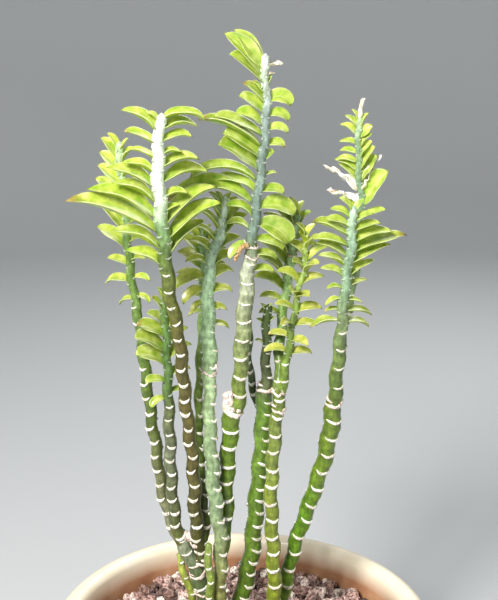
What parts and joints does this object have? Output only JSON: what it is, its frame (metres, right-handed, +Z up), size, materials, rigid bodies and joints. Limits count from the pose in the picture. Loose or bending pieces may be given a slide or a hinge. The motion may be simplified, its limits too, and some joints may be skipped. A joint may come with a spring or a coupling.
{
  "type": "potted euphorbia",
  "caption": "Upright succulent euphorbia: clustered zigzag canes with ringed leaf scars and heads of arched two-ranked leaves, standing in lava grit in a round bowl pot with a rolled rim.",
  "frame": {"origin": "centre of the pot's flat base", "axes": "+Z up along the pot's axis, -Y towards the side that the picture shows"},
  "size_m": [0.254, 0.254, 0.5174],
  "materials": {
    "pot_glaze": "cream glaze, satin to glossy, tan inside",
    "potting_mix": "dark crumbly potting mix",
    "lava_grit": "porous reddish lava grit with a few pale stones",
    "plant_flesh": "waxy succulent skin, yellow-green leaves, glaucous to olive canes with white leaf scars"
  },
  "bodies": {
    "root": {"pot": "pot_glaze", "potting_mix": "potting_mix", "lava_grit": "lava_grit", "canes_left": "plant_flesh", "canes_middle": "plant_flesh", "canes_behind": "plant_flesh", "canes_right_middle": "plant_flesh", "canes_right": "plant_flesh"}
  },
  "joints": []
}
